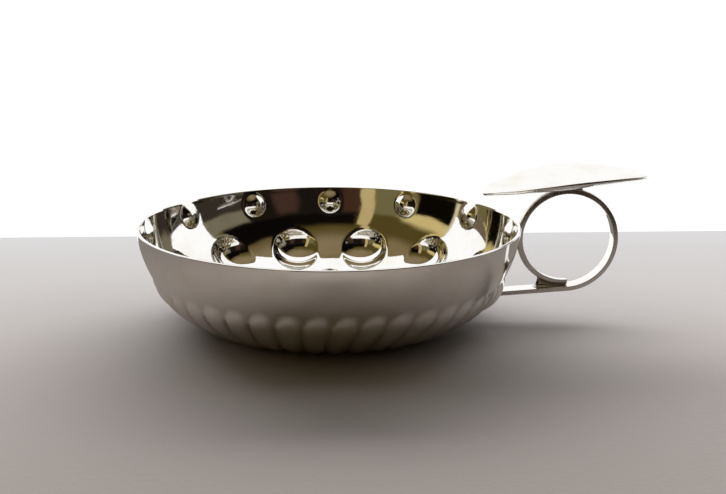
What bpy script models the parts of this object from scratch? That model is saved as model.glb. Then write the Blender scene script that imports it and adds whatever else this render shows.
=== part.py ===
"""A silver tastevin, the shallow cup that a wine taster carries.

Eight pieces: a raised bowl, a handle strap bent into a finger ring, a thumb rest, and the five
runs of silver solder that join them.

Frame: metres, +Z up. The origin is in the plane of the flat base, at the middle of the whole
tastevin's length. The handle points along +X, so the finger goes through the ring along Y.
The pieces are drawn about the bowl's axis, then carried into the frame together.
Turns are angles about +Z, counter-clockwise from +X. Depths are measured down from the rim.
"""
import math

import bmesh
import bpy
from mathutils import Matrix, Vector

MM = 0.001

# Where the bowl's axis stands in the frame.
BOWL_X = -14.3 * MM

# Bowl: a flat base, then a wall that follows a superellipse up to a rim that leans out a little.
RIM_RADIUS = 42.0 * MM
BOWL_HEIGHT = 22.0 * MM
BASE_RADIUS = 13.0 * MM
SHEET = 0.75 * MM
OUTWARD_POWER = 3.02
UPWARD_POWER = 1.76
WALL_SWEEP = math.radians(84.5)

# Omphalos: the dome pushed up in the middle of the base.
DOME_RADIUS = 8.5 * MM
DOME_HEIGHT = 3.0 * MM

# Cupules (hollows) and two rows of beads (raised inside) fill the half away from the gadroons.
CUPULES = 7
CUPULE_TURN = math.radians(73.25)
CUPULE_PITCH = math.radians(28.5)
CUPULE_RADIUS = 6.0 * MM
CUPULE_DEPTH = 15.2 * MM
CUPULE_SINK = 2.0 * MM
BEADS = 7
BEAD_TURN = math.radians(87.5)
BEAD_PITCH = math.radians(27.8)
BEAD_RADIUS = 2.9 * MM
BEAD_RISE = 1.2 * MM
UPPER_BEAD_DEPTH = 3.7 * MM
LOWER_BEAD_DEPTH = 20.4 * MM

# Gadroons: round-topped lobes that swell outward and lean slightly as they run down.
GADROONS = 19
GADROON_PITCH = math.radians(8.47)
GADROON_TURN = math.radians(256.2)
GADROON_TOP = 10.5 * MM
GADROON_ROUND = 3.0 * MM
GADROON_SWELL = 0.85 * MM
GADROON_FADE = 12.0 * MM
GADROON_LEAN = math.radians(0.3) / MM
SEGMENTS_PER_GADROON = 3
PATTERN_SEGMENTS = 69
WALL_ROWS = 20

# Handle strap: a straight tail from the wall, then one turn of a closing spiral.
# The strap is flat inside and domed outside, and narrows round the ring to its free end.
RING_X = 52.9 * MM
RING_Z = BOWL_HEIGHT - 4.0 * MM
RING_INNER_RADIUS = 10.85 * MM
STRAP_THICKNESS = 1.25 * MM
STRAP_WIDTH = 4.1 * MM
STRAP_TIP_WIDTH = 1.6 * MM
STRAP_SIDE = 0.95 * MM
STRAP_EDGE = 0.15 * MM
DOME_STEPS = 6
LAP_GAP = 0.1 * MM
TAIL_SLOPE = math.radians(3.6)
RING_STEPS = 64
TAIL_STEPS = 4

# Thumb rest: a pointed oval leaf, dished across and tilted up away from the bowl.
REST_X = 52.3 * MM
REST_HALF_LENGTH = 18.4 * MM
REST_HALF_WIDTH = 12.6 * MM
REST_SHEET = 0.65 * MM
REST_DISH = 2.6 * MM
REST_CURL = 0.35 * MM
REST_TILT = math.radians(6.4)
REST_POINT = 1.5
REST_DISH_POWER = 1.3
REST_SEGMENTS = 48
REST_ROWS = 5
REST_EDGE = 0.15 * MM

# Joints: pieces stand this far apart, and the solder keeps its own clearance to both.
GAP = 0.3 * MM
SOLDER_CLEARANCE = 0.1 * MM
SOLDER_INSET = 0.2 * MM
SOLDER_STEPS = 8
WALL_PAD_HALF_HEIGHT = 2.6 * MM
TAIL_PAD_LENGTH = 1.6 * MM
TAIL_PAD_RISE = 1.0 * MM
LAP_WEDGE_REACH = 6.6 * MM
LAP_WEDGE_START = 1.6 * MM
REST_WEDGE_REACH = 3.6 * MM
REST_WEDGE_START = 1.9 * MM

SILVER = (0.86, 0.84, 0.80, 1.0)
SOLDER = (0.55, 0.50, 0.44, 1.0)


def clear_scene():
    """Start from an empty scene."""
    for item in list(bpy.data.objects):
        bpy.data.objects.remove(item)


def metal(name, colour, roughness):
    """A plain polished metal."""
    material = bpy.data.materials.new(name)
    material.use_nodes = True
    shader = material.node_tree.nodes["Principled BSDF"]
    shader.inputs["Base Color"].default_value = colour
    shader.inputs["Metallic"].default_value = 1.0
    shader.inputs["Roughness"].default_value = roughness
    return material


def add_piece(name, shape, material, smooth_angle=40.0):
    """Turn a bmesh into a named, smooth-shaded object."""
    bmesh.ops.recalc_face_normals(shape, faces=shape.faces)
    mesh = bpy.data.meshes.new(name)
    shape.to_mesh(mesh)
    shape.free()
    mesh.shade_smooth()
    mesh.set_sharp_from_angle(angle=math.radians(smooth_angle))
    mesh.materials.append(material)
    piece = bpy.data.objects.new(name, mesh)
    bpy.context.scene.collection.objects.link(piece)
    return piece


def smooth_step(value):
    """Ease from 0 to 1."""
    value = min(max(value, 0.0), 1.0)
    return value * value * (3 - 2 * value)


# ---------------------------------------------------------------- bowl

def full_upward():
    """How much of the superellipse's own height the wall takes up."""
    return 1 - math.cos(WALL_SWEEP) ** (2 / UPWARD_POWER)


def wall_profile(rise):
    """Radius and height of the plain wall; rise runs from 0 at the base to 1 at the rim."""
    angle = WALL_SWEEP * rise ** 1.5
    outward = (math.sin(angle) / math.sin(WALL_SWEEP)) ** (2 / OUTWARD_POWER)
    upward = (1 - math.cos(angle) ** (2 / UPWARD_POWER)) / full_upward()
    return BASE_RADIUS + (RIM_RADIUS - BASE_RADIUS) * outward, BOWL_HEIGHT * upward


def wall_rise(depth):
    """The rise at which the plain wall lies this far below the rim."""
    left = 1 - full_upward() * (BOWL_HEIGHT - depth) / BOWL_HEIGHT
    return (math.acos(left ** (UPWARD_POWER / 2)) / WALL_SWEEP) ** (1 / 1.5)


def wall_normal(rise):
    """The plain wall's outward normal, as its radial and upward parts."""
    step = 1e-4
    low = wall_profile(max(rise - step, 0.0))
    high = wall_profile(min(rise + step, 1.0))
    along = Vector((high[0] - low[0], high[1] - low[1])).normalized()
    return along.y, -along.x


def on_wall(turn, depth):
    """A point of the plain wall."""
    radius, height = wall_profile(wall_rise(depth))
    return Vector((radius * math.cos(turn), radius * math.sin(turn), height))


def row_of_points(count, middle, pitch, depth):
    """The centres of a row of round marks, spread evenly about the row's middle."""
    first = middle - pitch * (count - 1) / 2
    return [on_wall(first + pitch * index, depth) for index in range(count)]


def round_mark(point, centres, radius, amount):
    """The height of the cap that a point is on, or 0 between the caps."""
    nearest = min((point - centre).length for centre in centres)
    return amount * max(1 - (nearest / radius) ** 2, 0.0)


def gadroon(turn, radius, depth):
    """The swell of the lobes: sharp valleys between them, and round tops."""
    middle = GADROON_TURN - GADROON_LEAN * (depth - GADROON_TOP)
    away = (turn - middle + math.pi) % math.tau - math.pi
    half_band = GADROON_PITCH * GADROONS / 2
    if abs(away) >= half_band or depth < GADROON_TOP:
        return 0.0
    across = ((away + half_band) / GADROON_PITCH) % 1 * 2 - 1
    above_round = max(1 - (depth - GADROON_TOP) / GADROON_ROUND, 0.0)
    lobe = math.sqrt(max(1 - across ** 2 - above_round ** 2, 0.0))
    return GADROON_SWELL * lobe * smooth_step((radius - BASE_RADIUS) / GADROON_FADE)


def relief(point, turn, cupules, beads):
    """How far the sheet is pushed outward from the plain wall at one point."""
    radius = math.hypot(point.x, point.y)
    out = round_mark(point, cupules, CUPULE_RADIUS, CUPULE_SINK)
    out = max(out, gadroon(turn, radius, BOWL_HEIGHT - point.z))
    return out - round_mark(point, beads, BEAD_RADIUS, BEAD_RISE)


def bowl_turns():
    """Turns round the bowl: a whole number to each gadroon, then the other half."""
    band = GADROON_PITCH * GADROONS
    first = GADROON_TURN - band / 2
    count = SEGMENTS_PER_GADROON * GADROONS
    turns = [first + band * index / count for index in range(count)]
    rest = math.tau - band
    turns += [first + band + rest * i / PATTERN_SEGMENTS for i in range(PATTERN_SEGMENTS)]
    return turns


def bowl_skin(inward):
    """Rings of one face of the sheet, from the dome out to the level rim; inward is 0 outside."""
    cupules = row_of_points(CUPULES, CUPULE_TURN, CUPULE_PITCH, CUPULE_DEPTH)
    beads = row_of_points(BEADS, BEAD_TURN, BEAD_PITCH, UPPER_BEAD_DEPTH)
    beads += row_of_points(BEADS, BEAD_TURN, BEAD_PITCH, LOWER_BEAD_DEPTH)
    turns = bowl_turns()
    rings = []
    for share in (0.5, 1.0):
        radius = DOME_RADIUS * share
        height = DOME_HEIGHT * (1 - share ** 2) + inward
        rings.append([Vector((radius * math.cos(t), radius * math.sin(t), height)) for t in turns])
    for row in range(WALL_ROWS + 1):
        rise = row / WALL_ROWS
        radius, height = wall_profile(rise)
        side, up = wall_normal(rise) if row < WALL_ROWS else (1.0, 0.0)
        ring = []
        for turn in turns:
            turn -= GADROON_LEAN * (BOWL_HEIGHT - height - GADROON_TOP)
            around = Vector((math.cos(turn), math.sin(turn), 0.0))
            normal = around * side + Vector((0, 0, up))
            point = around * radius + Vector((0, 0, height))
            point += normal * (relief(point, turn, cupules, beads) if row else 0.0)
            point.z = max(point.z, 0.0)
            ring.append(point - normal * inward)
        rings.append(ring)
    return rings


def build_bowl(material):
    """The raised bowl: an outer and an inner face, joined round the rim."""
    shape = bmesh.new()
    rims = []
    for inward in (0.0, SHEET):
        rings = [[shape.verts.new(point) for point in ring] for ring in bowl_skin(inward)]
        rims.append(rings[-1])
        centre = shape.verts.new((0, 0, DOME_HEIGHT + inward))
        for index in range(len(rings[0])):
            shape.faces.new((centre, rings[0][index - 1], rings[0][index]))
            for inner, outer in zip(rings, rings[1:]):
                shape.faces.new((inner[index - 1], inner[index], outer[index], outer[index - 1]))
    outside, inside = rims
    for index in range(len(outside)):
        shape.faces.new((outside[index - 1], outside[index], inside[index], inside[index - 1]))
    add_piece("bowl", shape, material)


# ---------------------------------------------------------------- handle strap

def spiral_radius(turn):
    """Inner radius of the ring; it closes by one thickness and the lap's gap in a full turn."""
    turned = (turn + math.pi / 2 - TAIL_SLOPE) / math.tau
    return RING_INNER_RADIUS - (STRAP_THICKNESS + LAP_GAP) * turned


def ring_point(turn, out=0.0):
    """A point of the ring in the XZ plane, out from the strap's inner face."""
    radius = spiral_radius(turn) + out
    return Vector((RING_X + radius * math.cos(turn), RING_Z + radius * math.sin(turn)))


def ring_start():
    """The turn at which the tail runs into the ring."""
    return TAIL_SLOPE - math.pi / 2


def tail_point(x, out=0.0):
    """A point of the straight tail in the XZ plane, out from the strap's upper face."""
    start = ring_point(ring_start(), out)
    return Vector((x, start.y + (x - start.x) * math.tan(TAIL_SLOPE)))


def plain_wall_radius(height):
    """Radius of the plain wall at a height."""
    return wall_profile(wall_rise(BOWL_HEIGHT - height))[0]


def outer_wall_radius(height):
    """Radius that clears the plain wall and the lobes that stand out of it."""
    return plain_wall_radius(height) + GADROON_SWELL


def tail_end(out):
    """Where the tail stops short of the wall, for one of the strap's two faces."""
    height = tail_point(outer_wall_radius(BOWL_HEIGHT / 3), out).y
    return outer_wall_radius(height) + GAP


def strap_face(out):
    """The strap's inner or outer face, as points from the wall round to the blunt end."""
    end = tail_end(out)
    join = ring_point(ring_start(), out).x
    points = [tail_point(end + (join - end) * i / TAIL_STEPS, out) for i in range(TAIL_STEPS)]
    for index in range(RING_STEPS + 1):
        points.append(ring_point(ring_start() + math.tau * index / RING_STEPS, out))
    return points


def ring_width(turn):
    """Width of the strap at a turn of the ring: full where it starts, least at its free end."""
    share = (turn - ring_start()) / math.tau
    return STRAP_WIDTH + (STRAP_TIP_WIDTH - STRAP_WIDTH) * share


def strap_widths():
    """Widths of the strap at the points of its faces."""
    steps_round = [ring_start() + math.tau * i / RING_STEPS for i in range(RING_STEPS + 1)]
    return [STRAP_WIDTH] * TAIL_STEPS + [ring_width(turn) for turn in steps_round]


def strap_section(width):
    """The D-shaped section, as places through the thickness and across the width."""
    half = width / 2
    section = [(0.0, half - STRAP_EDGE), (STRAP_EDGE, half)]
    for step in range(DOME_STEPS + 1):
        angle = math.pi * step / DOME_STEPS
        rise = (STRAP_THICKNESS - STRAP_SIDE) * math.sin(angle)
        section.append((STRAP_SIDE + rise, half * math.cos(angle)))
    return section + [(STRAP_EDGE, -half), (0.0, STRAP_EDGE - half)]


def close_rings(shape, rings):
    """Join rings of vertices that follow each other into a closed skin, with flat ends."""
    for near, far in zip(rings, rings[1:]):
        for index in range(len(near)):
            shape.faces.new((near[index - 1], near[index], far[index], far[index - 1]))
    shape.faces.new(rings[0])
    shape.faces.new(list(reversed(rings[-1])))


def build_handle_strap(material):
    """The strap: its section carried along the tail and round the finger ring."""
    shape = bmesh.new()
    rings = []
    for near, far, width in zip(strap_face(0.0), strap_face(STRAP_THICKNESS), strap_widths()):
        ring = []
        for through, across in strap_section(width):
            place = near.lerp(far, through / STRAP_THICKNESS)
            ring.append(shape.verts.new((place.x, across, place.y)))
        rings.append(ring)
    close_rings(shape, rings)
    return add_piece("handle_strap", shape, material, 35.0)


# ---------------------------------------------------------------- thumb rest

def ring_top():
    """Height of the ring's highest point."""
    return ring_point(math.pi / 2, STRAP_THICKNESS).y


def rest_placement():
    """The thumb rest's frame: over the ring, tilted up away from the bowl."""
    height = ring_top() + GAP + REST_SHEET + (REST_X - RING_X) * math.tan(REST_TILT)
    return Matrix.Translation((REST_X, 0, height)) @ Matrix.Rotation(-REST_TILT, 4, "Y")


def rest_point(share, angle, drop):
    """A point of the leaf, drop below its upper face; share runs from the middle to the edge."""
    cosine = math.cos(angle)
    along = share * REST_HALF_LENGTH * math.copysign(abs(cosine) ** REST_POINT, cosine)
    across = share * REST_HALF_WIDTH * math.sin(angle)
    dish = REST_DISH * share ** 2 * abs(math.sin(angle)) ** REST_DISH_POWER
    curl = REST_CURL * smooth_step(-along / REST_HALF_LENGTH * 2.5 - 1.5)
    return Vector((along, across, dish + curl - drop))


def rest_rows():
    """Share and drop of each ring of the leaf: over the top, round the edge, underneath."""
    edge = 1 - REST_EDGE / REST_HALF_WIDTH
    top = [(row / REST_ROWS, 0.0) for row in range(1, REST_ROWS)] + [(edge, 0.0)]
    bottom = [(share, REST_SHEET) for share, drop in reversed(top)]
    return top + [(1.0, REST_EDGE), (1.0, REST_SHEET - REST_EDGE)] + bottom


def build_thumb_rest(material):
    """The thumb rest: a closed leaf of sheet, made of rings round its middle."""
    shape = bmesh.new()
    angles = [math.tau * index / REST_SEGMENTS for index in range(REST_SEGMENTS)]
    rings = []
    for share, drop in rest_rows():
        rings.append([shape.verts.new(rest_point(share, angle, drop)) for angle in angles])
    middles = [shape.verts.new((0, 0, 0)), shape.verts.new((0, 0, -REST_SHEET))]
    for index in range(REST_SEGMENTS):
        shape.faces.new((middles[0], rings[0][index - 1], rings[0][index]))
        shape.faces.new((middles[1], rings[-1][index], rings[-1][index - 1]))
        for inner, outer in zip(rings, rings[1:]):
            shape.faces.new((inner[index - 1], outer[index - 1], outer[index], inner[index]))
    piece = add_piece("thumb_rest", shape, material, 50.0)
    piece.matrix_world = rest_placement()
    return piece


# ---------------------------------------------------------------- solder

def steps(start, end, count=SOLDER_STEPS):
    """Evenly spaced values from start to end."""
    return [start + (end - start) * index / count for index in range(count + 1)]


def solder_piece(name, outline, strap_width, material):
    """A run of solder: an outline in the XZ plane, a little narrower than the strap there."""
    shape = bmesh.new()
    half = strap_width / 2 - SOLDER_INSET
    rings = [[shape.verts.new((p.x, side * half, p.y)) for p in outline] for side in (-1, 1)]
    close_rings(shape, rings)
    return add_piece(name, shape, material, 30.0)


def build_ring_to_wall(material):
    """The seam where the ring's side lies against the bowl wall."""
    heights = steps(RING_Z - WALL_PAD_HALF_HEIGHT, RING_Z + WALL_PAD_HALF_HEIGHT)
    clearance = SOLDER_CLEARANCE
    wall = [Vector((plain_wall_radius(z) + clearance, z)) for z in heights]
    ring = []
    for z in heights:
        turn = math.pi - math.asin((z - RING_Z) / (spiral_radius(math.pi) + STRAP_THICKNESS))
        ring.append(ring_point(turn, STRAP_THICKNESS + clearance))
    outline = wall + list(reversed(ring))
    return solder_piece("solder_ring_to_wall", outline, ring_width(math.pi), material)


def build_tail_to_wall(material):
    """The fillet on top of the tail, in the corner with the wall."""
    clearance = SOLDER_CLEARANCE
    corner_x = tail_end(0.0)
    foot = tail_point(corner_x + TAIL_PAD_LENGTH, -clearance)
    corner = tail_point(corner_x, -clearance)
    heights = steps(corner.y, corner.y + TAIL_PAD_RISE, 3)
    wall = [Vector((outer_wall_radius(z) + clearance, z)) for z in heights]
    return solder_piece("solder_tail_to_wall", [foot] + wall, STRAP_WIDTH, material)


def build_ring_lap(material):
    """The wedge between the ring's lower side and the tail that it lies on."""
    clearance = SOLDER_CLEARANCE
    out = STRAP_THICKNESS + clearance
    xs = steps(RING_X - LAP_WEDGE_REACH, RING_X - LAP_WEDGE_START)
    tail = [tail_point(x, -clearance) for x in xs]
    ring = []
    for x in xs:
        turn = math.pi + math.acos((RING_X - x) / (RING_INNER_RADIUS + clearance))
        ring.append(ring_point(turn, out))
    outline = tail + list(reversed(ring))
    return solder_piece("solder_ring_lap", outline, ring_width(math.pi * 1.25), material)


def rest_underside(x):
    """Height of the thumb rest's lowest line at a place along X."""
    return ring_top() + GAP + (x - RING_X) * math.tan(REST_TILT)


def build_rest_wedge(name, side, material):
    """The fillet between the ring's top and the thumb rest, on one side of the contact."""
    clearance = SOLDER_CLEARANCE
    xs = steps(RING_X + side * REST_WEDGE_START, RING_X + side * REST_WEDGE_REACH)
    rest = [Vector((x, rest_underside(x) - clearance)) for x in xs]
    ring = []
    for x in xs:
        turn = math.acos((x - RING_X) / (spiral_radius(math.pi / 2) + STRAP_THICKNESS))
        ring.append(ring_point(turn, STRAP_THICKNESS + clearance))
    return solder_piece(name, rest + list(reversed(ring)), ring_width(math.pi / 2), material)


def carry_into_frame():
    """Hang every piece on one empty that stands at the bowl's axis."""
    pieces = list(bpy.context.scene.collection.objects)
    carrier = bpy.data.objects.new("tastevin", None)
    carrier.location.x = BOWL_X
    bpy.context.scene.collection.objects.link(carrier)
    for piece in pieces:
        piece.parent = carrier


def build():
    """Make every piece in its place."""
    clear_scene()
    silver = metal("polished_silver", SILVER, 0.12)
    solder = metal("silver_solder", SOLDER, 0.35)
    build_bowl(silver)
    build_handle_strap(silver)
    build_thumb_rest(silver)
    build_ring_to_wall(solder)
    build_tail_to_wall(solder)
    build_ring_lap(solder)
    build_rest_wedge("solder_rest_inner", -1, solder)
    build_rest_wedge("solder_rest_outer", 1, solder)
    carry_into_frame()


build()
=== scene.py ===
"""Looks for the silver tastevin: finer pieces over the CAD ones, their metal, and the studio.

Lengths are metres. The bowl's, strap's and thumb rest's places come from the CAD boxes.
Turns are angles about +Z, counter-clockwise from +X. Depths are measured down from the rim.
"""
import math

import bmesh
import bpy
import numpy as np
from mathutils import Matrix, Vector, noise


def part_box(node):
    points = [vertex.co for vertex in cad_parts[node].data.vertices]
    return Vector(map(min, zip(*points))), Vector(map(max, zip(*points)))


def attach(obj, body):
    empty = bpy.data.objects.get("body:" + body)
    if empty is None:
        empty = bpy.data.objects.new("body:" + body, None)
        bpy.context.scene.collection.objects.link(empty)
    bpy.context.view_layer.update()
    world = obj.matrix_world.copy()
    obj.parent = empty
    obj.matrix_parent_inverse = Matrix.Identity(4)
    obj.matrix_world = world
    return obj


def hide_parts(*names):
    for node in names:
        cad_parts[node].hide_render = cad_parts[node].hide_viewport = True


MM = 0.001

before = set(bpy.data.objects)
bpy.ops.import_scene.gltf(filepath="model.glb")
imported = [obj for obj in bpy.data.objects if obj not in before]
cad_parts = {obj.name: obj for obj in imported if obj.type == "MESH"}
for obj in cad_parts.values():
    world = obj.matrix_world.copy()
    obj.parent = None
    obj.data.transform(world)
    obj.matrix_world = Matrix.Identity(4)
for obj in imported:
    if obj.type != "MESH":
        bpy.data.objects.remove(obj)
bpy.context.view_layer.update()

# ---------------------------------------------------------------- sizes and places

BOWL_LOW, BOWL_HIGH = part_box("bowl")
STRAP_LOW, STRAP_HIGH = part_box("handle_strap")

# Bowl: the same superellipse wall and reliefs as the CAD bowl, sampled finely.
AXIS_X = (BOWL_LOW[0] + BOWL_HIGH[0]) / 2
RIM_RADIUS = (BOWL_HIGH[0] - BOWL_LOW[0]) / 2
BOWL_HEIGHT = BOWL_HIGH[2] - BOWL_LOW[2]
BASE_RADIUS = 13.0 * MM
SHEET = 0.75 * MM
OUTWARD_POWER = 3.02
UPWARD_POWER = 1.76
WALL_SWEEP = math.radians(84.5)
WALL_EASE = 1.5
RIM_ROUND = 0.22 * MM
DOME_RADIUS = 8.5 * MM
DOME_HEIGHT = 3.0 * MM

CUPULES = 7
CUPULE_TURN = math.radians(73.25)
CUPULE_PITCH = math.radians(28.5)
CUPULE_RADIUS = 6.0 * MM
CUPULE_DEPTH = 15.2 * MM
CUPULE_SINK = 2.0 * MM
CUPULE_BLEND = 0.08 * MM
BEADS = 7
BEAD_TURN = math.radians(87.5)
BEAD_PITCH = math.radians(27.8)
BEAD_RADIUS = 2.9 * MM
BEAD_RISE = 1.2 * MM
BEAD_BLEND = 0.13 * MM
UPPER_BEAD_DEPTH = 3.7 * MM
LOWER_BEAD_DEPTH = 20.4 * MM

GADROONS = 19
GADROON_PITCH = math.radians(8.47)
GADROON_TURN = math.radians(256.2)
GADROON_TOP = 10.3 * MM
GADROON_ROUND = 3.2 * MM
GADROON_SWELL = 0.85 * MM
GADROON_FADE = 12.0 * MM
GADROON_LEAN = math.radians(0.3) / MM

# How finely the bowl is sampled: round it, up each face, over the rim and across the dome.
STEPS_PER_GADROON = 16
OTHER_STEPS = 326
INNER_ROWS = 72
OUTER_ROWS = 54
RIM_STEPS = 8
DOME_STEPS = 12
PROFILE_STEPS = 4001

# How satin a face is, from 0, polished, to 1.
OUTER_SATIN = 0.1
REST_SATIN = 0.6

# Strap: a tail and a closing ring, flat inside and domed outside, narrowing to its free end.
STRAP_THICKNESS = 1.25 * MM
STRAP_WIDTH = STRAP_HIGH[1] - STRAP_LOW[1]
STRAP_TIP_WIDTH = 1.6 * MM
STRAP_SIDE = 0.95 * MM
STRAP_EDGE = 0.15 * MM
STRAP_SLANT = 0.26 * MM
RING_INNER_RADIUS = 10.85 * MM
RING_CLOSING = 1.35 * MM
TAIL_SLOPE = math.radians(3.6)
RING_START = TAIL_SLOPE - math.pi / 2
TAIL_STEPS = 23
RING_STEPS = 241

# Thumb rest: a pointed, dished leaf, lying close on the ring.
REST_X = AXIS_X + 52.3 * MM
REST_HALF_LENGTH = 18.4 * MM
REST_HALF_WIDTH = 12.57 * MM
REST_SHEET = 0.65 * MM
REST_DISH = 2.6 * MM
REST_CURL = 0.35 * MM
REST_TILT = math.radians(6.4)
REST_POINT = 1.5
REST_DISH_POWER = 1.3
REST_GAP = 0.15 * MM
REST_EDGE = 0.2 * MM
REST_STEPS = 160

# Solder: how far its open faces are hollowed, as a share of the joint's height, and how far
# into the strap it reaches, as a share of the strap's thickness.
SOLDER_HOLLOW = 0.35
SOLDER_REACH = 0.9
LAP_START = 6.6 * MM
LAP_LENGTH = 7.0 * MM
LAP_FOOT = 0.9 * MM
FILLET_LENGTH = 1.5 * MM
FILLET_HEIGHT = 1.2 * MM
FILLET_POWER = 1.7

# Silver and solder: bright and tarnished colours, then polished and satin roughness.
SILVER = ((0.95, 0.935, 0.91, 1), (0.88, 0.84, 0.76, 1), 0.045, 0.28)
SOLDER = ((0.62, 0.56, 0.49, 1), (0.42, 0.34, 0.27, 1), 0.2, 0.3)


# ---------------------------------------------------------------- mesh helpers

def add_mesh(name, points, faces, satin, sharp_angle=60.0):
    """A smooth-shaded object from points and faces; satin says how little each point is polished."""
    mesh = bpy.data.meshes.new(name)
    mesh.from_pydata([tuple(p) for p in points], [], [tuple(f) for f in faces])
    layer = mesh.attributes.new("satin", "FLOAT", "POINT")
    layer.data.foreach_set("value", np.asarray(satin, np.float32))
    shape = bmesh.new()
    shape.from_mesh(mesh)
    bmesh.ops.remove_doubles(shape, verts=shape.verts, dist=1e-7)
    bmesh.ops.recalc_face_normals(shape, faces=shape.faces)
    shape.to_mesh(mesh)
    shape.free()
    mesh.shade_smooth()
    mesh.set_sharp_from_angle(angle=math.radians(sharp_angle))
    piece = bpy.data.objects.new(name, mesh)
    bpy.context.scene.collection.objects.link(piece)
    return piece


def grid_faces(rows, columns, start=0, closed=True):
    """Quads between rows of points that follow each other in the point list."""
    across = np.arange(columns if closed else columns - 1)
    after = (across + 1) % columns
    faces = []
    for row in range(rows - 1):
        low = start + row * columns
        high = low + columns
        faces += np.stack([low + across, low + after, high + after, high + across], -1).tolist()
    return faces


def tag(piece, node, material):
    """Give a piece its metal, set it under the root body, and hide the CAD part it stands in for."""
    piece.data.materials.append(material)
    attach(piece, "root")
    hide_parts(node)


def smooth_step(value):
    """Ease from 0 to 1."""
    value = np.clip(value, 0.0, 1.0)
    return value * value * (3 - 2 * value)


# ---------------------------------------------------------------- bowl

def wall_profile(rise):
    """Radius and height of the plain wall; rise runs from 0 at the base to 1 at the rim."""
    angle = WALL_SWEEP * np.asarray(rise, float) ** WALL_EASE
    outward = (np.sin(angle) / math.sin(WALL_SWEEP)) ** (2 / OUTWARD_POWER)
    upward = 1 - np.cos(angle) ** (2 / UPWARD_POWER)
    full = 1 - math.cos(WALL_SWEEP) ** (2 / UPWARD_POWER)
    return BASE_RADIUS + (RIM_RADIUS - BASE_RADIUS) * outward, BOWL_HEIGHT * upward / full


def wall_rows(count, inward):
    """Rises that are evenly spaced along the wall, up to where the rim begins to round."""
    rise = np.linspace(0, 1, PROFILE_STEPS)
    lean = -wall_normals(np.array([0.999]))[1][0]
    radius, height = wall_profile(rise)
    length = np.concatenate([[0], np.cumsum(np.hypot(np.diff(radius), np.diff(height)))])
    last = np.interp(BOWL_HEIGHT - RIM_ROUND - inward * lean, height, length)
    return np.interp(np.linspace(0, last, count), length, rise)


def wall_normals(rise):
    """The plain wall's outward normal, as its radial and upward parts."""
    low = wall_profile(np.clip(rise - 1e-4, 1e-6, 1))
    high = wall_profile(np.clip(rise + 1e-4, 0, 1))
    along = np.stack([high[0] - low[0], high[1] - low[1]])
    along /= np.hypot(along[0], along[1])
    return along[1], -along[0]


def mark_centres(count, middle, pitch, depth):
    """The centres of a row of round marks, spread evenly about the row's middle."""
    rise = np.linspace(0, 1, PROFILE_STEPS)
    radius, height = wall_profile(rise)
    here = np.interp(BOWL_HEIGHT - depth, height, radius)
    turns = middle + pitch * (np.arange(count) - (count - 1) / 2)
    flat = np.full(count, BOWL_HEIGHT - depth)
    return np.stack([here * np.cos(turns), here * np.sin(turns), flat], -1)


def round_marks(points, centres, radius, amount, blend):
    """Round caps on the wall, each running into it over a short blend."""
    total = np.zeros(points.shape[:-1])
    for centre in centres:
        near = np.linalg.norm(points - centre, axis=-1) / radius
        cap = amount * (1 - near ** 2)
        total += np.where(near < 1.5, (cap + np.hypot(cap, blend)) / 2, 0.0)
    return total


def gadroons(turn, radius, depth):
    """Lobes with narrow valleys between them; their round tops run softly into the wall."""
    middle = GADROON_TURN - GADROON_LEAN * (depth - GADROON_TOP)
    away = (turn - middle + math.pi) % math.tau - math.pi
    half_band = GADROON_PITCH * GADROONS / 2
    across = ((away + half_band) / GADROON_PITCH) % 1 * 2 - 1
    bulge = np.sqrt(np.clip(1 - across ** 2, 0, 1))
    into = (depth - GADROON_TOP) / GADROON_ROUND - (1 - bulge)
    top = 1 - np.clip(1 - into / np.maximum(bulge, 0.02), 0, 1) ** 2
    lobe = bulge * top * smooth_step((radius - BASE_RADIUS) / GADROON_FADE)
    return np.where(np.abs(away) < half_band, GADROON_SWELL * lobe, 0.0)


def bowl_turns():
    """Turns round the bowl: a whole number to each gadroon, then the other half."""
    band = GADROON_PITCH * GADROONS
    first = GADROON_TURN - band / 2
    lobes = np.arange(STEPS_PER_GADROON * GADROONS) / (STEPS_PER_GADROON * GADROONS)
    others = np.arange(OTHER_STEPS) / OTHER_STEPS
    return np.concatenate([first + band * lobes, first + band + (math.tau - band) * others])


def bowl_wall(rows, inward):
    """Rows of points up one face of the wall; inward is 0 outside and the sheet inside."""
    rise = wall_rows(rows, inward)[:, None]
    radius, height = wall_profile(rise)
    side, up = wall_normals(rise)
    turn = bowl_turns()[None, :] - GADROON_LEAN * (BOWL_HEIGHT - height - GADROON_TOP)
    plain = np.stack([radius * np.cos(turn), radius * np.sin(turn), height + 0 * turn], -1)
    push = gadroons(turn, radius, BOWL_HEIGHT - height)
    cupules = mark_centres(CUPULES, CUPULE_TURN, CUPULE_PITCH, CUPULE_DEPTH)
    push += round_marks(plain, cupules, CUPULE_RADIUS, CUPULE_SINK, CUPULE_BLEND)
    for depth in (UPPER_BEAD_DEPTH, LOWER_BEAD_DEPTH):
        beads = mark_centres(BEADS, BEAD_TURN, BEAD_PITCH, depth)
        push -= round_marks(plain, beads, BEAD_RADIUS, BEAD_RISE, BEAD_BLEND)
    out = np.stack([side * np.cos(turn), side * np.sin(turn), up + 0 * turn], -1)
    points = plain + out * push[..., None]
    points[..., 2] = np.maximum(points[..., 2], 0)
    return points - out * inward, turn


def dome_rows(turns, inward):
    """Rows of points from the middle of the dome out to the edge of the base."""
    rows = []
    for share in np.linspace(0, 1, DOME_STEPS)[1:-1]:
        radius = BASE_RADIUS * share
        swell = 0.5 + 0.5 * math.cos(math.pi * min(radius / DOME_RADIUS, 1))
        flat = np.full(len(turns), DOME_HEIGHT * swell + inward)
        rows.append(np.stack([radius * np.cos(turns), radius * np.sin(turns), flat], -1))
    return rows


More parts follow.
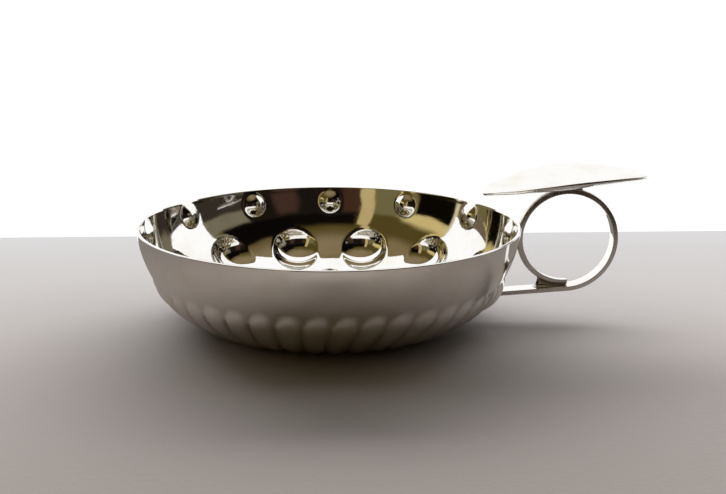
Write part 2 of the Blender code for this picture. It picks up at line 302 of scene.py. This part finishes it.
def rim_rows(turns):
    """Rows of points over the rounded top of the rim, from outside to inside."""
    rows = []
    middle = RIM_RADIUS - SHEET / 2
    reach = SHEET / 2 - RIM_ROUND
    for step in range(1, RIM_STEPS):
        angle = math.pi * step / RIM_STEPS
        side = math.cos(angle)
        radius = middle + reach * np.sign(round(side, 6)) + RIM_ROUND * side
        height = BOWL_HEIGHT - RIM_ROUND + RIM_ROUND * math.sin(angle)
        flat = np.full(len(turns), height)
        rows.append(np.stack([radius * np.cos(turns), radius * np.sin(turns), flat], -1))
    return rows


def bowl_rows():
    """The bowl's rows of points: up the outside, over the rim, and down the inside."""
    outer, outer_turns = bowl_wall(OUTER_ROWS, 0.0)
    inner, inner_turns = bowl_wall(INNER_ROWS, SHEET)
    rows = dome_rows(outer_turns[0], 0.0) + list(outer)
    rows += rim_rows(outer_turns[-1])
    return rows + list(inner[::-1]) + dome_rows(inner_turns[0], SHEET)[::-1]


def build_bowl(material):
    """The raised bowl as one closed skin."""
    rows = bowl_rows()
    columns = len(rows[0])
    points = np.concatenate(rows)
    low = len(points)
    high = low + 1
    points = np.concatenate([points, [[0, 0, DOME_HEIGHT], [0, 0, DOME_HEIGHT + SHEET]]])
    points[:, 0] += AXIS_X
    faces = grid_faces(len(rows), columns)
    last = (len(rows) - 1) * columns
    for index in range(columns):
        after = (index + 1) % columns
        faces.append((low, after, index))
        faces.append((high, last + index, last + after))
    outside = DOME_STEPS - 2 + OUTER_ROWS
    satin = np.zeros(len(points))
    satin[:outside * columns] = OUTER_SATIN
    satin[low] = OUTER_SATIN
    piece = add_mesh("tastevin_bowl", points, faces, satin)
    tag(piece, "bowl", material)


# ---------------------------------------------------------------- strap

def spiral_radius(turn):
    """Inner radius of the ring, which closes a little in its full turn."""
    turned = (turn + math.pi / 2 - TAIL_SLOPE) / math.tau
    return RING_INNER_RADIUS - RING_CLOSING * turned


RING_X = STRAP_HIGH[0] - spiral_radius(0) - STRAP_THICKNESS
RING_Z = STRAP_HIGH[2] - spiral_radius(math.pi / 2) - STRAP_THICKNESS


def ring_point(turn, out=0.0):
    """A point of the ring in the XZ plane, out from the strap's inner face."""
    radius = spiral_radius(turn) + out
    return np.array([RING_X + radius * math.cos(turn), RING_Z + radius * math.sin(turn)])


def tail_height(x, out=0.0):
    """Height of the straight tail at a place along X."""
    join = ring_point(RING_START, out)
    return join[1] + (x - join[0]) * math.tan(TAIL_SLOPE)


def ring_width(turn):
    """Width of the strap at a turn of the ring: full where it starts, least at its free end."""
    return STRAP_WIDTH + (STRAP_TIP_WIDTH - STRAP_WIDTH) * (turn - RING_START) / math.tau


def ring_turns():
    """The turns at which the ring is sampled, once round."""
    return np.linspace(RING_START, RING_START + math.tau, RING_STEPS)


def strap_path(out):
    """One face of the strap, from the wall round to the blunt end of the lap."""
    join = ring_point(RING_START, out)
    tail = np.linspace(STRAP_LOW[0], join[0], TAIL_STEPS + 1)[:-1]
    points = [(x, tail_height(x, out)) for x in tail]
    points += [ring_point(turn, out) for turn in ring_turns()]
    return np.array(points)


def strap_widths():
    """Widths of the strap at the points of its path."""
    return [STRAP_WIDTH] * TAIL_STEPS + list(ring_width(ring_turns()))


def strap_section(width):
    """The D-shaped section, as depths from the inner face, places across, and satin values."""
    half = width / 2
    section = [(0.0, half * across, 0.0) for across in (0.0, 0.5)]
    for step in range(5):
        angle = math.pi / 2 * step / 4
        section.append((STRAP_EDGE * (1 - math.cos(angle)),
                        half - STRAP_EDGE * (1 - math.sin(angle)), step / 4))
    for step in range(25):
        angle = math.pi * step / 24
        rise = (STRAP_THICKNESS - STRAP_SIDE) * math.sin(angle) ** 0.8
        section.append((STRAP_SIDE + rise, (half - STRAP_SLANT) * math.cos(angle), 1.0))
    other = [(through, -across, satin) for through, across, satin in section[6:1:-1]]
    return section + other + [(0.0, -half * 0.5, 0.0)]


def build_strap(material):
    """The strap: its section carried along the tail and round the ring."""
    points, satin = [], []
    for near, far, width in zip(strap_path(0.0), strap_path(STRAP_THICKNESS), strap_widths()):
        for through, across, dull in strap_section(width):
            place = near + (far - near) * through / STRAP_THICKNESS
            points.append((place[0], across, place[1]))
            satin.append(dull)
    columns = len(strap_section(STRAP_WIDTH))
    rows = len(points) // columns
    faces = grid_faces(rows, columns)
    faces.append(tuple(range(columns)))
    faces.append(tuple(len(points) - columns + index for index in range(columns)))
    piece = add_mesh("tastevin_handle_strap", points, faces, satin)
    tag(piece, "handle_strap", material)


# ---------------------------------------------------------------- thumb rest

def rest_point(share, angle, drop):
    """A point of the leaf, drop below its upper face, before it is tilted."""
    cosine = math.cos(angle)
    along = share * REST_HALF_LENGTH * math.copysign(abs(cosine) ** REST_POINT, cosine)
    across = share * REST_HALF_WIDTH * math.sin(angle)
    dish = REST_DISH * share ** 2 * abs(math.sin(angle)) ** REST_DISH_POWER
    curl = REST_CURL * smooth_step(-along / REST_HALF_LENGTH * 2.5 - 1.5)
    return Vector((along, across, dish + curl - drop))


def rest_rows():
    """Share, inset and drop of each ring: over the top, round the edge, and underneath."""
    reach = np.linspace(0, 1, 28)[1:-1] ** 0.8
    rows = [(share, 0.0, 0.0) for share in reach]
    for step in range(7):
        angle = math.pi / 2 * step / 6
        rows.append((1.0, REST_EDGE * (1 - math.sin(angle)), REST_EDGE * (1 - math.cos(angle))))
    under = [(share, inset, REST_SHEET - drop) for share, inset, drop in reversed(rows)]
    return rows + under


def rest_place():
    """The leaf's frame: over the ring, tilted up away from the bowl."""
    rise = (REST_X - RING_X) * math.tan(REST_TILT)
    lift = STRAP_HIGH[2] + REST_GAP + REST_SHEET + rise
    return Matrix.Translation((REST_X, 0, lift)) @ Matrix.Rotation(-REST_TILT, 4, "Y")


def build_thumb_rest(material):
    """The leaf: its upper face, an eased edge and its underside."""
    place = rest_place()
    angles = [math.tau * (index + 0.5) / REST_STEPS for index in range(REST_STEPS)]
    points = []
    rows = rest_rows()
    for share, inset, drop in rows:
        for angle in angles:
            reach = rest_point(1.0, angle, 0.0).xy.length
            points.append(place @ rest_point(share - inset / reach, angle, drop))
    faces = grid_faces(len(rows), REST_STEPS)
    points += [place @ Vector((0, 0, 0)), place @ Vector((0, 0, -REST_SHEET))]
    top = len(points) - 2
    last = (len(rows) - 1) * REST_STEPS
    for index in range(REST_STEPS):
        after = (index + 1) % REST_STEPS
        faces.append((top, index, after))
        faces.append((top + 1, last + after, last + index))
    satin = [REST_SATIN] * len(points)
    piece = add_mesh("tastevin_thumb_rest", points, faces, satin, sharp_angle=35.0)
    tag(piece, "thumb_rest", material)


# ---------------------------------------------------------------- solder

def build_joint(name, pairs, half_width, material):
    """A run of solder between pairs of facing points in the XZ plane, hollowed where it is open."""
    levels = np.linspace(0, 1, 9)[:, None]
    hollow = SOLDER_HOLLOW * 4 * levels * (1 - levels)
    middles = [(low + high) / 2 for low, high in pairs]
    points = []
    for index, (low, high) in enumerate(pairs):
        height = np.linalg.norm(high - low)
        line = low + (high - low) * levels
        if index in (0, len(pairs) - 1):
            inner = middles[1] if index == 0 else middles[-2]
            way = inner - middles[index]
            line = line + way / np.linalg.norm(way) * height * hollow
        half = half_width - np.minimum(height * hollow, half_width * 0.6)
        near = np.hstack([line[:, :1], -half, line[:, 1:]])
        points += list(near) + list((near * (1, -1, 1))[::-1])
    columns = 2 * len(levels)
    faces = grid_faces(len(pairs), columns)
    for start in (0, len(points) - columns):
        for level in range(len(levels) - 1):
            other = columns - 1 - level
            faces.append((start + level, start + level + 1, start + other - 1, start + other))
    piece = add_mesh("tastevin_" + name, points, faces, [1.0] * len(points))
    tag(piece, name, material)


def outer_wall_radius(height):
    """Distance of the plain wall's outside from the bowl's axis."""
    rise = np.linspace(0, 1, PROFILE_STEPS)
    radius, level = wall_profile(rise)
    return np.interp(height, level, radius)


def build_lap_joint(material):
    """The wedge between the ring's lower side and the tail; its foot spreads at the open end."""
    pairs = []
    for share in np.linspace(0, 1, 20):
        reach = LAP_START - LAP_LENGTH * share
        turn = math.pi + math.acos(reach / (RING_INNER_RADIUS + STRAP_THICKNESS / 2))
        ring = ring_point(turn, STRAP_THICKNESS * SOLDER_REACH)
        foot = ring[0] - LAP_FOOT * max(0.0, 1 - share * 4) ** 2
        pairs.append((np.array([foot, tail_height(foot) - 0.05 * MM]), ring))
    build_joint("solder_ring_lap", pairs, ring_width(math.pi * 1.25) / 2, material)


def build_wall_joint(material):
    """The seam where the ring's side lies against the bowl wall."""
    pairs = []
    for z in RING_Z + np.linspace(-2.6, 2.4, 12) * MM:
        turn = math.pi - math.asin((z - RING_Z) / (spiral_radius(math.pi) + STRAP_THICKNESS))
        wall = np.array([AXIS_X + outer_wall_radius(z) - 0.1 * MM, z])
        pairs.append((wall, ring_point(turn, STRAP_THICKNESS * SOLDER_REACH)))
    build_joint("solder_ring_to_wall", pairs, ring_width(math.pi) * 0.4, material)


def build_tail_joint(material):
    """The fillet on top of the tail, in the corner with the wall."""
    pairs = []
    corner = np.array([STRAP_LOW[0] - 0.3 * MM, tail_height(STRAP_LOW[0]) - 0.1 * MM])
    for share in np.linspace(0.0, 1.0, 10):
        foot = np.array([FILLET_LENGTH * (1 - share) ** FILLET_POWER, 0])
        head = np.array([0.3 * MM * share, FILLET_HEIGHT * share ** FILLET_POWER])
        pairs.append((corner + foot, corner + head))
    build_joint("solder_tail_to_wall", pairs[1:-1], STRAP_WIDTH * 0.42, material)


def build_rest_joint(name, side, material):
    """The fillet between the ring's top and the thumb rest, on one side of the contact."""
    pairs = []
    for reach in np.linspace(3.4, 0.8, 12) * MM:
        x = RING_X + side * reach
        turn = math.acos((x - RING_X) / (spiral_radius(math.pi / 2) + STRAP_THICKNESS))
        under = STRAP_HIGH[2] + REST_GAP + (x - RING_X) * math.tan(REST_TILT) + 0.05 * MM
        ring = ring_point(turn, STRAP_THICKNESS * SOLDER_REACH)
        pairs.append((ring, np.array([x, under])))
    build_joint(name, pairs, ring_width(math.pi / 2) * 0.42, material)


# ---------------------------------------------------------------- metal

def new_material(name):
    """A node material, with its nodes and links."""
    material = bpy.data.materials.new(name)
    material.use_nodes = True
    return material, material.node_tree.nodes, material.node_tree.links


def add_noise(nodes, links, place, scale, detail):
    """Fractal noise over the object's own coordinates."""
    grain = nodes.new("ShaderNodeTexNoise")
    grain.inputs["Scale"].default_value = scale
    grain.inputs["Detail"].default_value = detail
    links.new(place, grain.inputs["Vector"])
    return grain.outputs["Fac"]


def remap(nodes, links, value, low, high, to_low, to_high):
    """The value, carried from one range to another and held inside it."""
    node = nodes.new("ShaderNodeMapRange")
    for index, number in enumerate((low, high, to_low, to_high), 1):
        node.inputs[index].default_value = number
    links.new(value, node.inputs[0])
    return node.outputs[0]


def combine(nodes, links, operation, first, second):
    """Two values put together."""
    node = nodes.new("ShaderNodeMath")
    node.operation = operation
    for socket, value in zip(node.inputs, (first, second)):
        if isinstance(value, float):
            socket.default_value = value
        else:
            links.new(value, socket)
    return node.outputs[0]


def scratches(nodes, links, place, turn, scale):
    """Fine parallel scratches: noise that is drawn out along one direction."""
    lay = nodes.new("ShaderNodeMapping")
    lay.inputs["Rotation"].default_value = turn
    lay.inputs["Scale"].default_value = (1.0, 0.02, 1.0)
    links.new(place, lay.inputs["Vector"])
    lines = add_noise(nodes, links, lay.outputs[0], scale, 2.0)
    return remap(nodes, links, lines, 0.62, 0.72, 0.0, 1.0)


def silver_colour(nodes, links, place, bright, dull):
    """Bright metal, with a breath of tarnish in soft patches."""
    mix = nodes.new("ShaderNodeMix")
    mix.data_type = "RGBA"
    mix.inputs["A"].default_value = bright
    mix.inputs["B"].default_value = dull
    patches = add_noise(nodes, links, place, 160.0, 4.0)
    links.new(remap(nodes, links, patches, 0.50, 0.78, 0.0, 1.0), mix.inputs["Factor"])
    return mix.outputs["Result"]


def metal_material(name, bright, dull, polished, satin):
    """Silver with tarnish, smudges and scratches, from its polished to its satin places."""
    material, nodes, links = new_material(name)
    shader = nodes["Principled BSDF"]
    shader.inputs["Metallic"].default_value = 1.0
    place = nodes.new("ShaderNodeTexCoord").outputs["Object"]
    links.new(silver_colour(nodes, links, place, bright, dull), shader.inputs["Base Color"])
    dullness = nodes.new("ShaderNodeAttribute")
    dullness.attribute_name = "satin"
    rough = remap(nodes, links, dullness.outputs["Fac"], 0.0, 1.0, polished, satin)
    smudge = remap(nodes, links, add_noise(nodes, links, place, 220.0, 5.0), 0.45, 0.8, 0.9, 1.5)
    marks = combine(nodes, links, "MAXIMUM",
                    scratches(nodes, links, place, (0.0, 0.0, 0.6), 2600.0),
                    scratches(nodes, links, place, (0.9, 0.4, -0.9), 2100.0))
    rough = combine(nodes, links, "MULTIPLY", rough, smudge)
    worn = combine(nodes, links, "MULTIPLY", marks, 0.04)
    links.new(combine(nodes, links, "ADD", rough, worn), shader.inputs["Roughness"])
    pits = combine(nodes, links, "MULTIPLY", add_noise(nodes, links, place, 900.0, 3.0), 0.3)
    bump = nodes.new("ShaderNodeBump")
    bump.inputs["Strength"].default_value = 0.06
    bump.inputs["Distance"].default_value = 0.02 * MM
    links.new(combine(nodes, links, "SUBTRACT", pits, marks), bump.inputs["Height"])
    links.new(bump.outputs[0], shader.inputs["Normal"])
    return material


# ---------------------------------------------------------------- studio

# The dark half of the studio, in front of the cup and over it, as soft-edged painted areas:
# (turns, heights, softness, colour). Degrees; turn 0 is toward -Y, 90 toward the handle. Each
# area lies over those before it.
PAINT = [
    ((-180, 180), (-90, 90), 1.0, (0.080, 0.058, 0.014)),
    ((-180, 180), (55, 90), 22.0, (0.230, 0.178, 0.095)),
    ((-100, -60), (50, 90), 14.0, (0.200, 0.150, 0.070)),
    ((-62, -30), (-9, 28), 4.0, (0.150, 0.128, 0.055)),
    ((-24, 40), (10, 43), 7.0, (0.004, 0.003, 0.002)),
    ((26, 84), (10, 49), 4.0, (0.003, 0.002, 0.002)),
    ((-26, 60), (-9, 30), 3.0, (0.010, 0.007, 0.005)),
    ((-25, -11), (4, 27), 5.0, (0.050, 0.022, 0.012)),
    ((20, 36), (6, 27), 6.0, (0.050, 0.026, 0.018)),
    ((56, 100), (-9, 17), 1.5, (0.034, 0.026, 0.019)),
    ((57, 100), (17, 29), 3.0, (0.170, 0.150, 0.100)),
    ((-100, -58), (20, 31), 6.0, (0.580, 0.460, 0.190)),
    ((-110, -94), (-9, 26), 3.0, (0.580, 0.500, 0.310)),
    ((-94, -64), (-9, 20), 1.0, (0.003, 0.002, 0.001)),
    ((-34, -24.5), (-9, 41), 1.5, (0.470, 0.370, 0.165)),
    ((-140, -99), (-9, 20), 2.0, (0.150, 0.115, 0.065)),
    ((100, 140), (-9, 20), 2.0, (0.060, 0.048, 0.035)),
]
# The cloth's colours from its front end to its far edge, as shares of the span along Y. The two dark
# tones at the front end are painted shade.
FLOOR_SPAN = (-0.18, 0.08)
FLOOR_TONES_AND_FRONT_SHADE = [(0.00, (0.050, 0.036, 0.026, 1)), (0.20, (0.060, 0.045, 0.034, 1)),
               (0.33, (0.365, 0.334, 0.318, 1)), (0.60, (0.398, 0.371, 0.364, 1)),
               (1.00, (0.355, 0.353, 0.359, 1))]
# How painted shade and light on the cloth change away from a place in front of the cup, out to
# FLOOR_REACH: as it is seen, painted shade near the cup and painted light far off; as the metal
# mirrors it, painted shade that deepens away from the cup.
FLOOR_MIDDLE = (AXIS_X, -60 * MM, 0)
FLOOR_REACH = 200 * MM
FLOOR_HALF = 1.2
FLOOR_END = 82.5 * MM
MIRRORED_END = 66 * MM
MIRRORED_LIFT = 0.02 * MM
# Painted shade in front of the cup and painted light farther out, on the cloth that is seen.
SEEN_PAINTED_SHADE_AND_LIGHT = [(0.00, (0.80, 0.80, 0.80, 1)), (0.35, (0.90, 0.90, 0.90, 1)),
              (0.60, (1.09, 1.09, 1.09, 1)), (0.90, (1.15, 1.15, 1.15, 1))]
# Painted shade on the cloth that the metal mirrors, deepening away from the cup.
MIRRORED_PAINTED_SHADE = [(0.10, (0.98, 0.95, 0.91, 1)), (0.28, (0.65, 0.61, 0.57, 1)),
                  (0.42, (0.44, 0.41, 0.38, 1)), (0.60, (0.35, 0.33, 0.30, 1))]
# Seeds the noise that makes the painted areas' edges wander, so that each run is the same.
WANDER_SEED = 3
# Where painted panels stand, as (name, turns, heights).
PANELS = [("dome", (-97, 94), (-2, 90)), ("sill_left", (-134, -97), (-2, 12)),
          ("sill_right", (94, 128), (-2, 9))]
# Camera: where it stands from the bowl's axis, turned about that axis, then how far it looks
# down and leans.
CAMERA_PLACE = (7.44 * MM, -258.12 * MM, 79.365 * MM)
CAMERA_DIP = 0.2391
CAMERA_ROLL = 0.00615
CAMERA_TURN = math.radians(3.96)


def emission_material(name, colour, strength):
    """A plain glow."""
    material, nodes, links = new_material(name)
    nodes.remove(nodes["Principled BSDF"])
    glow = nodes.new("ShaderNodeEmission")
    glow.inputs["Color"].default_value = colour
    glow.inputs["Strength"].default_value = strength
    links.new(glow.outputs[0], nodes["Material Output"].inputs["Surface"])
    material.cycles.emission_sampling = "NONE"
    return material


def add_ramp(nodes, links, value, tones):
    """The value, from 0 to 1, read as a colour between the tones."""
    ramp = nodes.new("ShaderNodeValToRGB")
    links.new(value, ramp.inputs[0])
    ends = ramp.color_ramp.elements
    for element, (position, colour) in zip([ends[0], ends[1]], (tones[0], tones[-1])):
        element.position = position
        element.color = colour
    for position, colour in tones[1:-1]:
        ends.new(position).color = colour
    return ramp.outputs["Color"]


def cloth_material(name, painted_shade_and_light):
    """Pale woven cloth, with painted shade at its front end, and painted shade and light by its
    distance from the cup.
    """
    material, nodes, links = new_material(name)
    shader = nodes["Principled BSDF"]
    shader.inputs["Roughness"].default_value = 0.9
    shader.inputs["Specular IOR Level"].default_value = 0.1
    place = nodes.new("ShaderNodeTexCoord").outputs["Object"]
    parts = nodes.new("ShaderNodeSeparateXYZ")
    links.new(place, parts.inputs[0])
    along = remap(nodes, links, parts.outputs["Y"], *FLOOR_SPAN, 0.0, 1.0)
    away = nodes.new("ShaderNodeVectorMath")
    away.operation = "DISTANCE"
    away.inputs[1].default_value = FLOOR_MIDDLE
    links.new(place, away.inputs[0])
    dim = remap(nodes, links, away.outputs["Value"], 0.0, FLOOR_REACH, 0.0, 1.0)
    mix = nodes.new("ShaderNodeMix")
    mix.data_type = "RGBA"
    mix.blend_type = "MULTIPLY"
    mix.inputs["Factor"].default_value = 1.0
    # The cloth's tones, with painted shade at the front end, times the painted shade and light by
    # distance from the cup.
    links.new(add_ramp(nodes, links, along, FLOOR_TONES_AND_FRONT_SHADE), mix.inputs["A"])
    links.new(add_ramp(nodes, links, dim, painted_shade_and_light), mix.inputs["B"])
    links.new(mix.outputs["Result"], shader.inputs["Base Color"])
    weave = combine(nodes, links, "ADD", add_noise(nodes, links, place, 45.0, 3.0),
                    add_noise(nodes, links, place, 900.0, 2.0))
    bump = nodes.new("ShaderNodeBump")
    bump.inputs["Strength"].default_value = 0.25
    bump.inputs["Distance"].default_value = 0.2 * MM
    links.new(weave, bump.inputs["Height"])
    links.new(bump.outputs[0], shader.inputs["Normal"])
    return material


def build_floor(name, far, height, painted_shade_and_light):
    """A pale cloth that ends a little way behind the cup."""
    mesh = bpy.data.meshes.new(name)
    near, side = -FLOOR_HALF, FLOOR_HALF
    corners = [(-side, near), (side, near), (side, far), (-side, far)]
    mesh.from_pydata([(x, y, height) for x, y in corners], [], [(0, 1, 2, 3)])
    mesh.materials.append(cloth_material(name + "_cloth", painted_shade_and_light))
    floor = bpy.data.objects.new(name, mesh)
    bpy.context.scene.collection.objects.link(floor)
    return floor


def build_floors():
    """The cloth that is seen, and a dimmer one with painted shade that the metal mirrors in its
    place.
    """
    seen = build_floor("floor", FLOOR_END, 0.0, SEEN_PAINTED_SHADE_AND_LIGHT)
    seen.visible_glossy = False
    mirrored = build_floor("floor_mirrored", MIRRORED_END, MIRRORED_LIFT, MIRRORED_PAINTED_SHADE)
    mirrored.visible_camera = False
    mirrored.visible_diffuse = False
    mirrored.visible_shadow = False


def soft_range(value, span, softness):
    """1 inside the span, easing to 0 over the softness at its ends."""
    low = smooth_step((value - span[0]) / softness + 0.5)
    high = smooth_step((span[1] - value) / softness + 0.5)
    return low * high


def painted(turn, height):
    """The backdrop's colours at these turns and heights, in degrees."""
    colour = np.zeros(turn.shape + (3,))
    for span, rise, softness, paint in PAINT:
        cover = soft_range(turn, span, softness) * soft_range(height, rise, softness)
        colour += (np.array(paint) - colour) * cover[..., None]
    return colour


def paint_material(name):
    """A glow in the colours painted on the mesh."""
    material = emission_material(name, (1, 1, 1, 1), 1.0)
    nodes, links = material.node_tree.nodes, material.node_tree.links
    paint = nodes.new("ShaderNodeAttribute")
    paint.attribute_name = "paint"
    links.new(paint.outputs["Color"], nodes["Emission"].inputs["Color"])
    return material


def build_backdrop(name, turns, heights):
    """A painted panel of the studio, part of a sphere of 1 m, which the camera looks through."""
    across = int(2 * (turns[1] - turns[0]))
    up = int(heights[1] - heights[0])
    height, turn = np.meshgrid(np.linspace(*heights, up + 1),
                               np.linspace(*turns, across + 1), indexing="ij")
    up_angle, side_angle = np.radians(height), np.radians(turn)
    ways = np.stack([np.cos(up_angle) * np.sin(side_angle),
                     -np.cos(up_angle) * np.cos(side_angle),
                     np.sin(up_angle)], -1).reshape(-1, 3)
    noise.seed_set(WANDER_SEED)
    wander = np.array([noise.noise_vector(Vector(way) * 4.0) for way in ways]) * 2.0
    colours = painted(turn.ravel() + wander[:, 0], height.ravel() + wander[:, 1])
    mesh = bpy.data.meshes.new("backdrop_" + name)
    points = ways + np.array([AXIS_X, 0, 0])
    mesh.from_pydata(points.tolist(), [], grid_faces(up + 1, across + 1, closed=False))
    layer = mesh.color_attributes.new("paint", "FLOAT_COLOR", "POINT")
    full = np.concatenate([colours, np.ones((len(colours), 1))], 1)
    layer.data.foreach_set("color", full.astype(np.float32).ravel())
    mesh.materials.append(paint_material("paint_" + name))
    backdrop = bpy.data.objects.new("backdrop_" + name, mesh)
    bpy.context.scene.collection.objects.link(backdrop)
    backdrop.visible_camera = False


def build_light():
    """A big soft lamp behind and above, which the metal doesn't mirror."""
    data = bpy.data.lights.new("back_softbox", "AREA")
    data.shape = "RECTANGLE"
    data.size = 1.4
    data.size_y = 0.4
    data.energy = 19.0
    lamp = bpy.data.objects.new("back_softbox", data)
    bpy.context.scene.collection.objects.link(lamp)
    lamp.location = (AXIS_X, 0.70, 0.38)
    toward_lamp = Vector(lamp.location) - Vector((AXIS_X, 0, 0))
    lamp.rotation_euler = toward_lamp.to_track_quat("Z", "Y").to_euler()
    lamp.visible_glossy = False
    lamp.visible_camera = False


def build_world():
    """White all round."""
    world = bpy.data.worlds.new("studio")
    bpy.context.scene.world = world
    world.use_nodes = True
    back = world.node_tree.nodes["Background"]
    back.inputs["Color"].default_value = (1, 1, 1, 1)
    back.inputs["Strength"].default_value = 1.04


def build_camera():
    """The view: close, low, and a little to the side of the bowl's axis away from the handle."""
    data = bpy.data.cameras.new("camera")
    data.sensor_width = 36
    data.lens = 59.5
    data.clip_start = 0.01
    camera = bpy.data.objects.new("camera", data)
    bpy.context.scene.collection.objects.link(camera)
    stand = Matrix.Translation(CAMERA_PLACE)
    aim = Matrix.Rotation(math.pi / 2 - CAMERA_DIP, 4, "X") @ Matrix.Rotation(CAMERA_ROLL, 4, "Z")
    turn = Matrix.Rotation(-CAMERA_TURN, 4, "Z")
    camera.matrix_world = Matrix.Translation((AXIS_X, 0, 0)) @ turn @ stand @ aim
    bpy.context.scene.camera = camera
    bpy.context.scene.view_settings.view_transform = "Standard"


silver = metal_material("polished_silver_metal", *SILVER)
solder = metal_material("silver_solder_metal", *SOLDER)
build_bowl(silver)
build_strap(silver)
build_thumb_rest(silver)
build_lap_joint(solder)
build_wall_joint(solder)
build_tail_joint(solder)
build_rest_joint("solder_rest_inner", -1, solder)
build_rest_joint("solder_rest_outer", 1, solder)
build_floors()
for panel in PANELS:
    build_backdrop(*panel)
build_light()
build_world()
build_camera()
